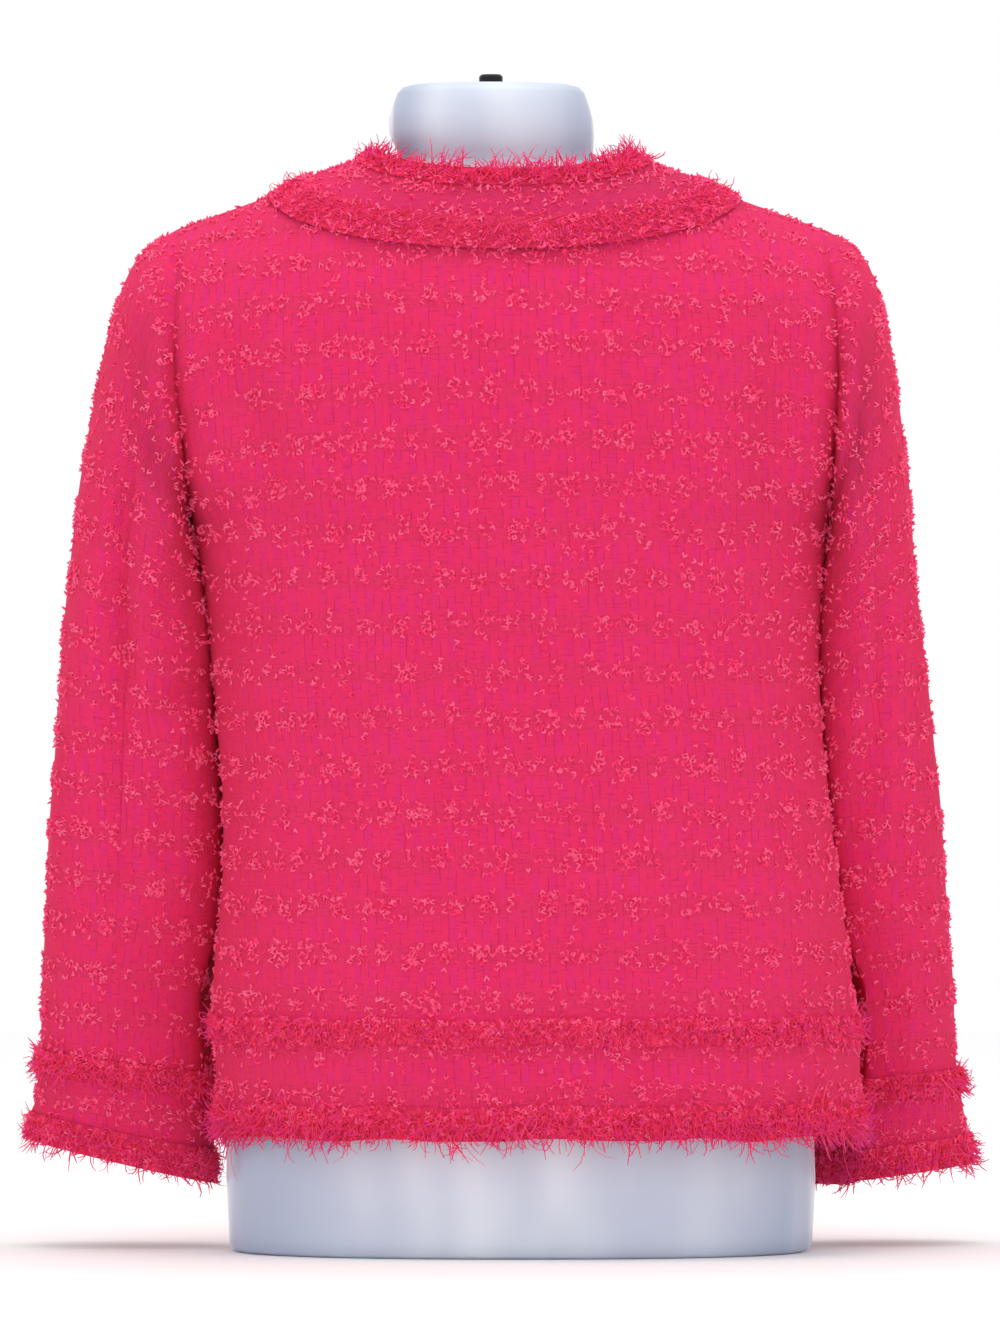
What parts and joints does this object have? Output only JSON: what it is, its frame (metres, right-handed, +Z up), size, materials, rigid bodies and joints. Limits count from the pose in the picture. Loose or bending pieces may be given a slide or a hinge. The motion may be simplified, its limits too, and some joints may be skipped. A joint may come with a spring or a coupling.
{
  "type": "cropped tweed jacket on a dress form",
  "caption": "Cropped tweed jacket with long sleeves, a flat collar band and rows of fringe trim at neck, hem and cuffs, standing on a smooth limbless dress form.",
  "frame": {"origin": "on the flat underside of the dress form, below the middle of the shoulders", "axes": "+Z up; the jacket's back faces +Y and its front opening faces -Y; +X towards the wearer's right; so +Y is the direction of the view from behind"},
  "size_m": [0.5349, 0.2492, 0.6468],
  "materials": {
    "tweed": "matte pink and red tweed with light pink loops",
    "fringe": "matte red and magenta cut threads",
    "form": "frosted bluish white",
    "plug": "dark"
  },
  "bodies": {
    "root": {"back_right": "tweed", "back_left": "tweed", "front_right": "tweed", "front_left": "tweed", "upper_sleeve_right": "tweed", "under_sleeve_right": "tweed", "upper_sleeve_left": "tweed", "under_sleeve_left": "tweed", "collar": "tweed", "neck_fringe": "fringe", "collar_fringe": "fringe", "hem_fringe_upper": "fringe", "hem_fringe_lower": "fringe", "cuff_fringe_upper_right": "fringe", "cuff_fringe_lower_right": "fringe", "cuff_fringe_upper_left": "fringe", "cuff_fringe_lower_left": "fringe", "dress_form": "form", "neck_plug": "plug"}
  },
  "joints": []
}
